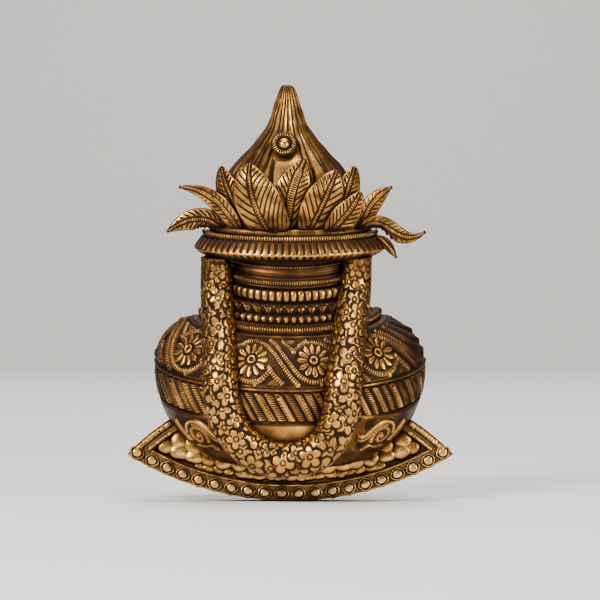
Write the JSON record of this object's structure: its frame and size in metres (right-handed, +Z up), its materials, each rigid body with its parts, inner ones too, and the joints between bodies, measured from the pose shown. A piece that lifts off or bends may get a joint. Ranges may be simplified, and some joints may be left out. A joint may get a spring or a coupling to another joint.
{
  "type": "wall-hanging kalash",
  "caption": "Half-relief brass water pot with garland, mango leaves and coconut on a beaded tray, open at the back, with a swinging ring to hang it.",
  "frame": {"origin": "wall plane, middle of the tray's lower back edge", "axes": "+Z up to the coconut's tip, +Y into the wall, front faces -Y, +X to the viewer's right"},
  "size_m": [0.164, 0.0519, 0.2095],
  "materials": {
    "pot_brass": "antique brass, dark patina in the chased recesses",
    "ridge_brass": "antique brass, rubbed bright on the raised rope and petals",
    "coconut_brass": "antique brass with dark grooves",
    "leaf_brass": "antique brass, bright leaf faces and dark veins",
    "garland_brass": "antique brass flowers over dark ground",
    "tray_brass": "antique brass, rubbed scales over a dark well",
    "bead_brass": "antique brass, polished tops",
    "fitting_brass": "plain dull brass"
  },
  "bodies": {
    "relief": {"pot_foot": "pot_brass", "scroll_band": "pot_brass", "fluted_band": "pot_brass", "medallion_band": "pot_brass", "small_flutes_ring": "pot_brass", "petal_ring": "pot_brass", "neck_flutes_ring": "pot_brass", "throat": "pot_brass", "collar": "pot_brass", "lip": "pot_brass", "lower_ridge": "ridge_brass", "rope_ridge": "ridge_brass", "neck_rope_ring": "ridge_brass", "collar_rope": "ridge_brass", "medallion_rosettes": "ridge_brass", "left_scroll": "ridge_brass", "right_scroll": "ridge_brass", "coconut": "coconut_brass", "tika_plate": "coconut_brass", "tika_boss": "coconut_brass", "leaf_front_left": "leaf_brass", "leaf_front_right": "leaf_brass", "leaf_centre": "leaf_brass", "leaf_side_left": "leaf_brass", "leaf_side_right": "leaf_brass", "leaf_low_right": "leaf_brass", "leaf_spread_left": "leaf_brass", "leaf_low_left": "leaf_brass", "leaf_spread_right": "leaf_brass", "leaf_horn": "leaf_brass", "leaf_drooping": "leaf_brass", "garland": "garland_brass", "tray": "tray_brass", "tray_petals": "tray_brass", "tray_back_roll": "tray_brass", "bead_settings": "bead_brass", "beads": "bead_brass", "hanger_strap": "fitting_brass", "hanger_lug": "fitting_brass"},
    "ring": {"hanger_ring": "fitting_brass"}
  },
  "joints": [
    {"name": "hanger_ring_swing", "type": "hinge", "parent": "relief", "child": "ring", "pos_m": [0, -0.0046, 0.1284], "axis": [1, 0, 0], "range_deg": [-20, 180]}
  ]
}
